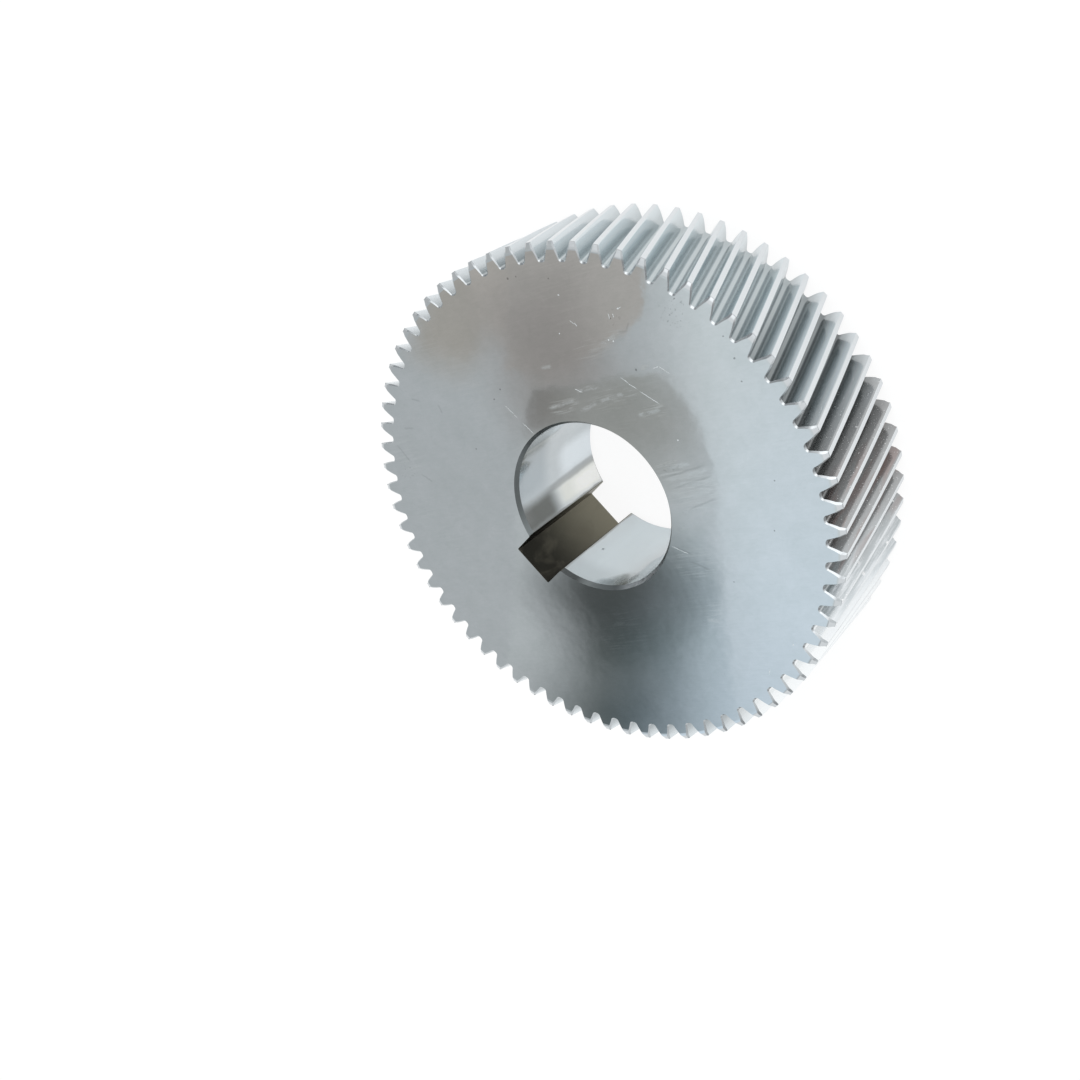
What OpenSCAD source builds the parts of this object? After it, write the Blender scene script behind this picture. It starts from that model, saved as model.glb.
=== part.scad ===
// Helical gear wheel in one piece: a plain disc with helical involute teeth and a keyed bore.
// The axis is +Z, the wheel lies on its back face at z = 0, and the keyway points along +X.

/* [Teeth] */
// number of teeth
teeth = 68; // [60:1:80]
// normal module, mm
normal_module = 2.5; // [2:0.25:3]
// normal pressure angle, degrees
pressure_angle = 20; // [18:0.5:22]
// helix angle at the pitch circle, degrees, left-hand
helix_angle = 16; // [8:0.5:22]
// height of a tooth above the pitch circle, in modules
tip_factor = 1; // [0.9:0.02:1.1]
// depth of a gap below the pitch circle, in modules
root_factor = 1.4; // [1.25:0.01:1.4]
// radius of the fillet at the foot of a tooth, mm
root_fillet = 0.9; // [0.4:0.05:1]
// thickness taken off each tooth at the pitch circle for running clearance, mm
tooth_relief = 0.3; // [0:0.02:0.4]
// angle from the keyway to the nearest tooth on the front face, degrees
tooth_phase = 0.71; // [0:0.01:2.6]

/* [Body] */
// width of the teeth, face to face, mm
face_width = 51; // [35:1:70]
// bevel at the end of each tooth tip, measured along the radius, mm
tip_bevel = 1.8; // [0.6:0.1:2.2]
// bevel at the end of each tooth tip, measured along the axis, mm
tip_bevel_depth = 0.9; // [0.6:0.1:2]
// bevel along the end edges of the teeth and gaps, mm
edge_bevel = 0.5; // [0.2:0.05:0.6]

/* [Bore] */
// diameter of the bore, mm
bore_d = 60; // [40:1:70]
// bevel at both ends of the bore, measured along the radius, mm
bore_bevel = 1.1; // [0.5:0.1:2]
// bevel at both ends of the bore, measured along the axis, mm
bore_bevel_depth = 1.6; // [0.5:0.1:3]
// width of the keyway, mm
key_width = 16; // [10:0.5:20]
// depth of the keyway beyond the bore, mm
key_depth = 8.2; // [3:0.1:10]
// radius in the two corners of the keyway's floor, mm
key_corner = 0.5; // [0.2:0.1:1]

/* [Hidden] */
$fn = 180;

full_turn = 360;
right_angle = 90;
deg = 180 / PI;
over_cut = 1;
rough_allowance = 6;
fillet_steps = 3;
flank_steps = 3;
twist_slices = 3;
fillet_share = 0.96;
search_steps = 24;
corner_steps = 3;

pitch_r = teeth * normal_module / cos(helix_angle) / 2;
transverse_angle = atan(tan(pressure_angle) / cos(helix_angle));
base_r = pitch_r * cos(transverse_angle);
tip_r = pitch_r + tip_factor * normal_module;
root_r = pitch_r - root_factor * normal_module;
twist_angle = deg * face_width * tan(helix_angle) / pitch_r;
half_gap_angle = full_turn / teeth / 2;
half_tooth_angle = full_turn / teeth / 4 - deg * tooth_relief / 2 / pitch_r;
bore_r = bore_d / 2;
key_floor = bore_r + key_depth;
rough_hole_r = bore_r - rough_allowance;

// involute function of an angle, in degrees
function involute(a) = deg * tan(a) - a;

// angle between the radius and the flank at radius r
function flank_slope(r) = acos(min(1, base_r / r));

// half the angle that a tooth takes up at radius r
function flank_angle(r) = half_tooth_angle + involute(transverse_angle) - involute(flank_slope(r));

// length of the generating line from the base circle to radius r
function line_length(r) = sqrt(max(0, r * r - base_r * base_r));

// angle of the fillet's centre, for a fillet radius f
function fillet_angle(f) = flank_angle(root_r + f) + deg * f / base_r;

// largest fillet that two neighbouring teeth leave room for
function widest_fillet(low, high, steps) =
    steps == 0 ? low
    : let (middle = (low + high) / 2)
      fillet_angle(middle) < half_gap_angle
      ? widest_fillet(middle, high, steps - 1)
      : widest_fillet(low, middle, steps - 1);

fillet_r = min(root_fillet, fillet_share * widest_fillet(0, normal_module, search_steps));
fillet_centre_r = root_r + fillet_r;
fillet_centre_angle = fillet_angle(fillet_r);
fillet_sweep = right_angle - flank_slope(fillet_centre_r);
flank_start_r = sqrt(pow(base_r, 2) + pow(line_length(fillet_centre_r) - fillet_r, 2));

// point of the fillet at a share s of its sweep, moved into the metal by an inset
function fillet_point(s, inset) =
    let (a = fillet_centre_angle + 2 * right_angle + s * fillet_sweep)
    fillet_centre_r * [cos(fillet_centre_angle), sin(fillet_centre_angle)]
    + (fillet_r + inset) * [cos(a), sin(a)];

// point of the flank at radius r on the line that lies an inset inside the metal
function flank_point(r, inset) =
    let (a = flank_angle(r) - deg * inset / base_r)
    r * [cos(a), sin(a)];

// one side of a tooth from the foot up: points and how deep each sits below the end face
function side_points(inset, start_r, end_r) = [
    for (i = [0 : fillet_steps]) fillet_point(i / fillet_steps, inset),
    for (i = [1 : flank_steps]) flank_point(start_r + (end_r - start_r) * i / flank_steps, inset)
];

// a whole tooth in order of angle: up the side below the centre line, then down the other one
function tooth_points(side) = concat(
    [for (p = side) [p[0], -p[1]]],
    [for (i = [len(side) - 1 : -1 : 0]) side[i]]
);

full_side = side_points(0, flank_start_r, tip_r);
inset_start_r = norm(fillet_point(1, edge_bevel));
inset_side = side_points(edge_bevel, inset_start_r, tip_r - tip_bevel);
full_tooth = tooth_points(full_side);
inset_tooth = tooth_points(inset_side);
side_count = len(full_side);
tooth_count = len(full_tooth);
row_count = teeth * tooth_count;

// depth of a profile point below the end face: deeper at the two tip corners
function end_depth(i) = (i == side_count - 1 || i == side_count) ? tip_bevel_depth : edge_bevel;

function spin(p, a) = [p[0] * cos(a) - p[1] * sin(a), p[0] * sin(a) + p[1] * cos(a)];

// angle that the left-hand twist adds at height z
function twist_at(z) = tooth_phase + twist_angle * (1 - z / face_width);

// one ring of points round the wheel, each at the height that heights gives it
function ring(tooth, heights) = [
    for (t = [0 : teeth - 1])
        for (i = [0 : tooth_count - 1])
            let (p = spin(tooth[i], t * full_turn / teeth + twist_at(heights[i])))
            [p[0], p[1], heights[i]]
];

function level(z) = [for (i = [0 : tooth_count - 1]) z];
low_heights = [for (i = [0 : tooth_count - 1]) end_depth(i)];
high_heights = [for (i = [0 : tooth_count - 1]) face_width - end_depth(i)];

rows = concat(
    [ring(inset_tooth, level(0)), ring(full_tooth, low_heights)],
    [for (s = [1 : twist_slices - 1]) ring(full_tooth, level(face_width * s / twist_slices))],
    [ring(full_tooth, high_heights), ring(inset_tooth, level(face_width))]
);
last_row = len(rows) - 1;

// corners of the rough hole that the bore is cut from, one for each tooth
function hole_ring(z) = [
    for (t = [0 : teeth - 1])
        let (a = t * full_turn / teeth + twist_at(z))
        [rough_hole_r * cos(a), rough_hole_r * sin(a), z]
];

wheel_points = concat(
    [for (row = rows) for (p = row) p],
    hole_ring(0),
    hole_ring(face_width)
);
back_hole = len(rows) * row_count;
front_hole = back_hole + teeth;

wheel_sides = [
    for (r = [0 : last_row - 1])
        for (i = [0 : row_count - 1])
            let (
                j = (i + 1) % row_count,
                a = r * row_count + i,
                b = r * row_count + j,
                c = (r + 1) * row_count + j,
                d = (r + 1) * row_count + i
            )
            for (face = [[a, c, b], [a, d, c]]) face
];

// flat triangles of one end face, from the index of its first tooth point and of its first hole point
function end_faces(first, hole) = [
    for (t = [0 : teeth - 1])
        let (
            low = first + t * tooth_count,
            high = low + tooth_count - 1,
            next_low = first + ((t + 1) % teeth) * tooth_count,
            inner = hole + t,
            next_inner = hole + (t + 1) % teeth
        )
        for (face = concat(
            [for (j = [0 : side_count - 2]) [low + j, low + j + 1, high - j - 1]],
            [for (j = [0 : side_count - 2]) [low + j, high - j - 1, high - j]],
            [[inner, low, high], [inner, high, next_low], [inner, next_low, next_inner]]
        )) face
];
function flipped(faces) = [for (f = faces) [f[2], f[1], f[0]]];

hole_sides = [
    for (t = [0 : teeth - 1])
        let (
            a = back_hole + t,
            b = back_hole + (t + 1) % teeth,
            c = front_hole + (t + 1) % teeth,
            d = front_hole + t
        )
        for (face = [[a, b, c], [a, c, d]]) face
];

module toothed_blank() {
    polyhedron(
        points = wheel_points,
        faces = concat(
            wheel_sides,
            hole_sides,
            end_faces(0, back_hole),
            flipped(end_faces(last_row * row_count, front_hole))
        ),
        convexity = 20
    );
}

module bore_cut() {
    slope = bore_bevel / bore_bevel_depth;
    mouth_r = bore_r + bore_bevel + over_cut * slope;
    rotate_extrude()
        polygon([
            [0, -over_cut],
            [mouth_r, -over_cut],
            [bore_r, bore_bevel_depth],
            [bore_r, face_width - bore_bevel_depth],
            [mouth_r, face_width + over_cut],
            [0, face_width + over_cut]
        ]);
}

// the keyway seen along the axis, from the bore's centre out to its floor
key_half = key_width / 2;
key_corner_points = [
    for (i = [0 : corner_steps])
        let (a = right_angle * (i / corner_steps - 1))
        [key_floor - key_corner + key_corner * cos(a), -key_half + key_corner + key_corner * sin(a)]
];
key_outline = concat(
    [[0, -key_half]],
    key_corner_points,
    [for (i = [corner_steps : -1 : 0]) [key_corner_points[i][0], -key_corner_points[i][1]]],
    [[0, key_half]]
);

module keyway_cut() {
    translate([0, 0, -over_cut]) linear_extrude(height = face_width + 2 * over_cut) polygon(key_outline);
}

module gear_wheel() {
    color([0.66, 0.68, 0.70])
        difference() {
            toothed_blank();
            bore_cut();
            keyway_cut();
        }
}

gear_wheel();
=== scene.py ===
"""Looks of a helical gear wheel of bare steel, lying on its back face on a pale floor."""

from math import acos, asin, atan, cos, pi, radians, sin, sqrt, tan

import bpy
import numpy as np
from mathutils import Matrix, Vector
from mathutils.geometry import tessellate_polygon


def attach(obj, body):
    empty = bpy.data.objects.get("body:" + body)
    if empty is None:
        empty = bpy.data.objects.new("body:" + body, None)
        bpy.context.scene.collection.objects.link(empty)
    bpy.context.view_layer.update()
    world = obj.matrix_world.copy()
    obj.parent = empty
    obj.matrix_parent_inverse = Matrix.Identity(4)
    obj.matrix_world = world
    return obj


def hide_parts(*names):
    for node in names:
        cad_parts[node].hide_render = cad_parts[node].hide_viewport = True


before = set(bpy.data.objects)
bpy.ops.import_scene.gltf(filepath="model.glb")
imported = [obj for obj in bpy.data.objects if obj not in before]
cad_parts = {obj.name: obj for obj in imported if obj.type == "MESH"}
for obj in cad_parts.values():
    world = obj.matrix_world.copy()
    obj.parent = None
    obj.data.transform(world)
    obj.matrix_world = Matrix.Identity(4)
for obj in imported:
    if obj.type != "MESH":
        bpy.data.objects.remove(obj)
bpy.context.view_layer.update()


# The wheel's sizes in millimetres and radians, the same as in the part's source.
MM = 0.001
TEETH = 68
NORMAL_MODULE = 2.5
PRESSURE_ANGLE = radians(20)
HELIX_ANGLE = radians(16)
TIP_FACTOR = 1.0
ROOT_FACTOR = 1.4
ROOT_FILLET = 0.9
TOOTH_RELIEF = 0.3
TOOTH_PHASE = radians(0.71)
FACE_WIDTH = 51.0
TIP_BEVEL = 1.8
TIP_BEVEL_DEPTH = 0.9
BORE_R = 30.0
BORE_BEVEL = 1.1
BORE_BEVEL_DEPTH = 1.6
KEY_HALF = 8.0
KEY_FLOOR = 38.2

# Fine edges that only show close up.
ROOT_EDGE = 0.36
FLANK_EDGE = 0.56
LAND_EDGE = 0.12
TIP_ROUND = 0.2
KEY_CORNER = 0.5
KEY_EDGE = 0.3
KEY_END_EDGE = 0.15
# The middle of the keyway's rounded edge, in parts of KEY_EDGE: outwards and to the side.
KEY_EDGE_OUT = 0.35
KEY_EDGE_SIDE = 0.3

FILLET_STEPS = 6
LOWER_FLANK_STEPS = 4
UPPER_FLANK_STEPS = 3
ROUND_STEPS = 4
TWIST_SLICES = 12
BORE_STEPS = 240
FILLET_SHARE = 0.96
SEARCH_STEPS = 24
SMALLEST_AREA = 1e-7
SMOOTH_ANGLE = radians(25)

pitch_r = TEETH * NORMAL_MODULE / cos(HELIX_ANGLE) / 2
transverse_angle = atan(tan(PRESSURE_ANGLE) / cos(HELIX_ANGLE))
base_r = pitch_r * cos(transverse_angle)
tip_r = pitch_r + TIP_FACTOR * NORMAL_MODULE
root_r = pitch_r - ROOT_FACTOR * NORMAL_MODULE
twist = FACE_WIDTH * tan(HELIX_ANGLE) / pitch_r
half_tooth = pi / TEETH / 2 - TOOTH_RELIEF / 2 / pitch_r


def involute(angle):
    return tan(angle) - angle


def flank_slope(r):
    return acos(min(1.0, base_r / r))


def flank_angle(r):
    return half_tooth + involute(transverse_angle) - involute(flank_slope(r))


def line_length(r):
    return sqrt(max(0.0, r * r - base_r * base_r))


def fillet_centre_angle(fillet):
    return flank_angle(root_r + fillet) + fillet / base_r


def widest_fillet():
    low, high = 0.0, NORMAL_MODULE
    for _ in range(SEARCH_STEPS):
        middle = (low + high) / 2
        if fillet_centre_angle(middle) < pi / TEETH:
            low = middle
        else:
            high = middle
    return low


def polar(r, angle):
    return np.array([r * cos(angle), r * sin(angle)])


def blend(a, b, share):
    return a + (b - a) * min(1.0, max(0.0, share))


def tooth_side():
    """One side of a tooth, foot first: points on the profile, directions into the metal, edge sizes."""
    points, inward, edges = [], [], []
    fillet = min(ROOT_FILLET, FILLET_SHARE * widest_fillet())
    centre_r = root_r + fillet
    centre_angle = fillet_centre_angle(fillet)
    centre = polar(centre_r, centre_angle)
    for i in range(FILLET_STEPS + 1):
        share = i / FILLET_STEPS
        direction = polar(1, centre_angle + pi + share * (pi / 2 - flank_slope(centre_r)))
        points.append(centre + fillet * direction)
        inward.append(direction)
        edges.append(blend(FLANK_EDGE, ROOT_EDGE, share))
    round_r = tip_r - TIP_ROUND
    round_angle = flank_angle(round_r) - TIP_ROUND / base_r
    flank_end_r = sqrt(base_r ** 2 + (line_length(round_r) + TIP_ROUND) ** 2)
    flank_start_r = sqrt(base_r ** 2 + (line_length(centre_r) - fillet) ** 2)
    bevel_r = tip_r - TIP_BEVEL
    radii = list(np.linspace(flank_start_r, bevel_r, LOWER_FLANK_STEPS + 1)[1:])
    radii += list(np.linspace(bevel_r, flank_end_r, UPPER_FLANK_STEPS + 1)[1:])
    for r in radii:
        points.append(polar(r, flank_angle(r)))
        inward.append(polar(1, flank_angle(r) - pi / 2 - flank_slope(r)))
        edge = blend(ROOT_EDGE, FLANK_EDGE, (r - flank_start_r) / (bevel_r - flank_start_r))
        edges.append(blend(edge, LAND_EDGE, (r - bevel_r) / (flank_end_r - bevel_r) - 0.5))
    centre = polar(round_r, round_angle)
    for i in range(1, ROUND_STEPS + 1):
        direction = polar(1, blend(round_angle + pi / 2 - flank_slope(round_r), round_angle, i / ROUND_STEPS))
        points.append(centre + TIP_ROUND * direction)
        inward.append(-direction)
        edges.append(LAND_EDGE)
    return points, inward, edges


def mirrored(rows):
    return [np.array([row[0], -row[1]]) for row in rows]


side, side_inward, side_edges = tooth_side()
land_middle = [polar(tip_r, 0)]
outline = np.array(mirrored(side) + land_middle + side[::-1])
outline_inward = np.array(mirrored(side_inward) + [polar(-1, 0)] + side_inward[::-1])
outline_edges = np.array(side_edges + [LAND_EDGE] + side_edges[::-1])
outline_count = len(outline)
middle_index = len(side)


def tip_depth(points):
    """How far the bevel of the turned blank lies below the end face, at each point."""
    beyond = np.hypot(points[:, 0], points[:, 1]) - (tip_r - TIP_BEVEL)
    return np.maximum(0.0, beyond) * TIP_BEVEL_DEPTH / TIP_BEVEL


def rim_ring(points, heights):
    """The outline repeated round the rim, each point turned by the left-hand twist at its height."""
    ring = []
    for tooth in range(TEETH):
        angles = 2 * pi * tooth / TEETH + TOOTH_PHASE + twist * (1 - heights / FACE_WIDTH)
        x = points[:, 0] * np.cos(angles) - points[:, 1] * np.sin(angles)
        y = points[:, 0] * np.sin(angles) + points[:, 1] * np.cos(angles)
        ring.append(np.column_stack([x, y, heights]))
    return np.concatenate(ring)


def rim_rings():
    inset = outline + outline_inward * outline_edges[:, None]
    inset_depth = tip_depth(inset)
    full_depth = tip_depth(outline) + outline_edges
    rings = [rim_ring(inset, inset_depth), rim_ring(outline, full_depth)]
    for i in range(1, TWIST_SLICES):
        rings.append(rim_ring(outline, np.full(outline_count, FACE_WIDTH * i / TWIST_SLICES)))
    rings.append(rim_ring(outline, FACE_WIDTH - full_depth))
    rings.append(rim_ring(inset, FACE_WIDTH - inset_depth))
    return rings


def hole_outline(wall_r, grow):
    """The bore and its keyway seen along the axis: wall radius, and how far the keyway is widened."""
    half = KEY_HALF + grow
    floor = KEY_FLOOR + grow
    start = asin((half + KEY_EDGE) / wall_r)
    points = [polar(wall_r, blend(start, 2 * pi - start, i / BORE_STEPS)) for i in range(BORE_STEPS + 1)]
    mouth = sqrt(wall_r ** 2 - (half + KEY_EDGE) ** 2)
    points.append(np.array([mouth + KEY_EDGE * KEY_EDGE_OUT, -half - KEY_EDGE * KEY_EDGE_SIDE]))
    points.append(np.array([mouth + KEY_EDGE, -half]))
    key_points = []
    for i in range(ROUND_STEPS + 1):
        corner = polar(KEY_CORNER, blend(-pi / 2, 0, i / ROUND_STEPS))
        key_points.append(np.array([floor - KEY_CORNER, -half + KEY_CORNER]) + corner)
    points += key_points
    points += mirrored(key_points)[::-1]
    points.append(np.array([mouth + KEY_EDGE, half]))
    points.append(np.array([mouth + KEY_EDGE * KEY_EDGE_OUT, half + KEY_EDGE * KEY_EDGE_SIDE]))
    return np.array(points)


def hole_rings():
    slope = BORE_BEVEL / BORE_BEVEL_DEPTH
    lower = [
        (0.0, BORE_BEVEL, KEY_END_EDGE),
        (KEY_END_EDGE, BORE_BEVEL - slope * KEY_END_EDGE, 0.0),
        (BORE_BEVEL_DEPTH, 0.0, 0.0),
    ]
    levels = lower + [(FACE_WIDTH - depth, bevel, grow) for depth, bevel, grow in lower[::-1]]
    rings = []
    for z, bevel, grow in levels:
        flat = hole_outline(BORE_R + bevel, grow)
        rings.append(np.column_stack([flat, np.full(len(flat), z)]))
    return rings


class Shell:
    """Collects points and faces, each face with the index of its finish."""

    def __init__(self):
        self.points = []
        self.faces = []
        self.finishes = []

    def add_ring(self, ring):
        first = len(self.points)
        self.points.extend(ring.tolist())
        return first

    def add_face(self, corners, finish):
        self.faces.append(corners)
        self.finishes.append(finish)

    def add_strip(self, low, high, count, finish_of, outward=True):
        for i in range(count):
            j = (i + 1) % count
            corners = [low + i, low + j, high + j, high + i]
            self.add_face(corners if outward else corners[::-1], finish_of(i))


END, EDGE, FLANK, LAND, BORE, BORE_MOUTH, KEYWAY = range(7)
LAND_STRIPS = 3
WALL_STRIP = 2


def flank_or_land(i):
    from_middle = i % outline_count - middle_index
    return LAND if -LAND_STRIPS <= from_middle < LAND_STRIPS else FLANK


def edge_finish(i):
    return EDGE


def hole_finish(level):
    """Finish of each strip round the hole; the bore's bevels differ from its wall."""
    round_part = BORE if level == WALL_STRIP else BORE_MOUTH

    def finish(i):
        return round_part if i < BORE_STEPS else KEYWAY

    return finish


def add_end(shell, rim_first, hole_first, hole_count, upward):
    """One end face: the teeth in strips across, then the disc between the gaps and the hole."""

    def put(corners):
        shell.add_face(corners if upward else corners[::-1], END)

    border = []
    for tooth in range(TEETH):
        first = rim_first + tooth * outline_count
        last = first + outline_count - 1
        border += [first, last]
        for i in range(middle_index - 1):
            put([first + i, first + i + 1, last - i - 1, last - i])
        put([first + middle_index - 1, first + middle_index, first + middle_index + 1])
    hole = [hole_first + i for i in range(hole_count)]
    loops = [[Vector(shell.points[i][:2] + [0.0]) for i in loop] for loop in (border, hole)]
    order = border + hole
    for triangle in tessellate_polygon(loops):
        corners = [order[i] for i in triangle]
        a, b, c = [np.array(shell.points[i][:2]) for i in corners]
        area = (b[0] - a[0]) * (c[1] - a[1]) - (b[1] - a[1]) * (c[0] - a[0])
        if abs(area) > SMALLEST_AREA:
            put(corners if area > 0 else corners[::-1])


def add_tooth_map(mesh):
    """Map for the cutting lines, in metres: along the tooth's outline, and along the wheel's axis."""
    steps = np.linalg.norm(np.diff(outline, axis=0), axis=1)
    lengths = np.concatenate([[0.0], np.cumsum(steps)])
    period = lengths[-1] + steps[0]
    rim_count = (TWIST_SLICES + 3) * TEETH * outline_count
    layer = mesh.uv_layers.new(name="along_tooth")
    for face in mesh.polygons:
        spots = [mesh.loops[i].vertex_index for i in face.loop_indices]
        if max(spots) >= rim_count:
            continue
        indices = [spot % (TEETH * outline_count) for spot in spots]
        wraps = max(indices) - min(indices) > outline_count
        for loop, spot, index in zip(face.loop_indices, spots, indices):
            tooth, i = divmod(index, outline_count)
            turn = TEETH if wraps and tooth == 0 else 0
            along = (tooth + turn) * period + lengths[i]
            layer.data[loop].uv = (along * MM, mesh.vertices[spot].co.z)


def build_wheel():
    shell = Shell()
    rims = [shell.add_ring(ring) for ring in rim_rings()]
    count = TEETH * outline_count
    for i in range(len(rims) - 1):
        finish_of = edge_finish if i in (0, len(rims) - 2) else flank_or_land
        shell.add_strip(rims[i], rims[i + 1], count, finish_of)
    rings = hole_rings()
    hole_count = len(rings[0])
    holes = [shell.add_ring(ring) for ring in rings]
    for i in range(len(holes) - 1):
        shell.add_strip(holes[i], holes[i + 1], hole_count, hole_finish(i), outward=False)
    add_end(shell, rims[0], holes[0], hole_count, upward=False)
    add_end(shell, rims[-1], holes[-1], hole_count, upward=True)

    mesh = bpy.data.meshes.new("gear_wheel_detail")
    mesh.from_pydata([[v * MM for v in p] for p in shell.points], [], shell.faces)
    mesh.polygons.foreach_set("material_index", shell.finishes)
    mesh.polygons.foreach_set("use_smooth", [True] * len(shell.faces))
    mesh.set_sharp_from_angle(angle=SMOOTH_ANGLE)
    add_tooth_map(mesh)
    mesh.update()
    wheel = bpy.data.objects.new("gear_wheel_detail", mesh)
    bpy.context.scene.collection.objects.link(wheel)
    return wheel


class Graph:
    """Short calls for building shader nodes; any input may be a socket, a number, a vector or a colour."""

    def __init__(self, tree):
        self.nodes = tree.nodes
        self.links = tree.links

    def put(self, socket, value):
        if isinstance(value, bpy.types.NodeSocket):
            self.links.new(value, socket)
        else:
            socket.default_value = value

    def node(self, kind, inputs=(), **settings):
        node = self.nodes.new(kind)
        for name, value in settings.items():
            setattr(node, name, value)
        for key, value in dict(inputs).items():
            self.put(node.inputs[key], value)
        return node

    def math(self, operation, *values):
        return self.node("ShaderNodeMath", enumerate(values), operation=operation).outputs[0]

    def dot(self, a, b):
        return self.node("ShaderNodeVectorMath", {0: a, 1: b}, operation="DOT_PRODUCT").outputs["Value"]

    def shift(self, vector, offset):
        return self.node("ShaderNodeVectorMath", {0: vector, 1: offset}, operation="SUBTRACT").outputs[0]

    def stretch(self, vector, factors):
        return self.node("ShaderNodeVectorMath", {0: vector, 1: factors}, operation="MULTIPLY").outputs[0]

    def fade(self, value, low, high, at_low=0.0, at_high=1.0):
        inputs = {"Value": value, "From Min": low, "From Max": high, "To Min": at_low, "To Max": at_high}
        return self.node("ShaderNodeMapRange", inputs, interpolation_type="SMOOTHSTEP").outputs[0]

    def tint(self, share, a, b):
        node = self.node("ShaderNodeMix", data_type="RGBA")
        self.put(node.inputs[0], share)
        self.put(node.inputs[6], a)
        self.put(node.inputs[7], b)
        return node.outputs[2]

    def noise(self, where, scale, detail=2.0, roughness=0.5, distortion=0.0):
        inputs = {"Vector": where, "Scale": scale, "Detail": detail}
        inputs.update({"Roughness": roughness, "Distortion": distortion})
        return self.node("ShaderNodeTexNoise", inputs).outputs["Fac"]

    def bump(self, height, strength, distance, below=None):
        inputs = {"Height": height, "Strength": strength, "Distance": distance}
        if below is not None:
            inputs["Normal"] = below
        return self.node("ShaderNodeBump", inputs).outputs[0]


def new_material(name):
    material = bpy.data.materials.new(name)
    material.use_nodes = True
    return material, Graph(material.node_tree)


# How far each texture stands out of the steel, in metres.
WAVE_RELIEF = 0.00004
STEEL_RELIEF = 0.000006
STROKE_RELIEF = 0.0000012
GRAIN_RELIEF = 0.000001
CUT_RELIEF = 0.0000005
# Roughness that light marks add, and the darkest tone of plain steel as a part of its colour.
MARK_ROUGHNESS = 0.4
DARKER_STEEL = 0.88


def uneven_roughness(graph, texture, roughness):
    return graph.fade(texture, 0.3, 0.7, roughness - 0.05, roughness + 0.06)


def steel_surface(graph, colour, rough, relief):
    shader = graph.nodes["Principled BSDF"]
    shader.inputs["Metallic"].default_value = 1.0
    graph.put(shader.inputs["Base Color"], colour)
    graph.put(shader.inputs["Roughness"], rough)
    graph.put(shader.inputs["Normal"], relief)


# Marks on the front end face, in millimetres from the bore's axis. Lines: start and end.
SCRATCHES = [
    ((-2.2, -45.5), (-2.7, -38.9)),
    ((-3.0, -36.8), (-3.3, -31.0)),
    ((-45.7, -22.5), (-47.1, -15.7)),
    ((-47.4, -15.0), (-49.8, -7.3)),
    ((-45.9, -46.7), (-46.2, -45.0)),
    ((-46.6, -45.3), (-46.5, -43.6)),
    ((-29.0, -30.9), (-30.5, -28.0)),
    ((-57.0, -16.5), (-59.0, -15.9)),
    ((-59.0, -15.9), (-60.5, -11.4)),
    ((-58.7, -38.8), (-57.7, -37.1)),
    ((-59.7, -37.7), (-59.0, -36.5)),
    ((-61.9, -37.7), (-63.7, -36.9)),
    ((-14.8, 27.9), (-18.1, 33.8)),
    ((-8.9, 80.9), (-10.9, 79.5)),
]
SMEARS = [
    ((-15.2, -33.2), (-26.8, -28.0)),
    ((-24.3, -24.5), (-32.5, -22.3)),
    ((-32.5, -22.3), (-43.1, -17.6)),
    ((-40.1, -9.9), (-49.2, -5.8)),
    ((-28.6, -30.4), (-37.4, -25.3)),
    ((-53.6, -19.7), (-56.9, -17.8)),
    ((-24.3, -44.2), (-28.4, -41.5)),
    ((-48.0, -33.9), (-56.1, -32.1)),
    ((-30.8, 11.3), (-47.1, 17.9)),
    ((-27.1, 17.8), (-43.0, 23.9)),
    ((-25.3, 21.3), (-38.4, 27.0)),
    ((-34.9, 9.2), (-43.4, 12.3)),
    ((-37.1, 17.8), (-46.7, 21.6)),
    ((-22.1, 26.0), (-30.1, 28.7)),
    ((-5.0, 54.0), (-9.0, 57.5)),
]
DARK_LINES = [
    ((48.9, -66.8), (49.4, -58.7)),
    ((49.6, -53.0), (47.8, -47.6)),
    ((20.4, -64.0), (21.7, -60.5)),
    ((40.6, -68.5), (36.9, -65.5)),
    ((28.3, -73.0), (25.7, -69.9)),
    ((-56.7, -32.5), (-59.7, -30.3)),
    ((-59.1, -30.8), (-62.2, -31.9)),
    ((-33.1, 10.7), (-46.9, 16.2)),
    ((-30.9, 14.5), (-46.1, 20.3)),
    ((-30.9, 23.2), (-41.2, 26.4)),
    ((-15.6, 28.6), (-18.9, 34.5)),
    ((-16.5, 36.0), (-20.5, 42.5)),
]
# Spots: place, radius.
PITS = [
    ((-39.0, -71.3), 0.5),
    ((-42.0, -69.4), 0.3),
    ((-50.8, -60.7), 0.3),
    ((-58.1, -37.2), 0.35),
    ((-52.1, -20.3), 0.5),
    ((-81.0, -0.8), 0.45),
    ((-83.3, -7.9), 0.35),
    ((-77.5, 5.7), 0.4),
    ((-62.1, 34.4), 0.35),
    ((-49.5, 46.0), 0.35),
    ((-24.2, 50.1), 0.3),
    ((-5.4, -50.0), 0.4),
    ((-0.5, -49.4), 0.4),
    ((21.0, -43.2), 0.35),
    ((-79.8, -26.3), 0.35),
]
NICKS = [
    ((-49.4, -54.7), 0.35),
    ((-39.5, -46.5), 0.3),
    ((-45.6, 4.7), 0.35),
    ((-24.7, 77.7), 0.35),
    ((-53.0, -31.8), 0.35),
    ((-52.0, -33.0), 0.3),
    ((-62.6, -37.3), 0.35),
]
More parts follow.
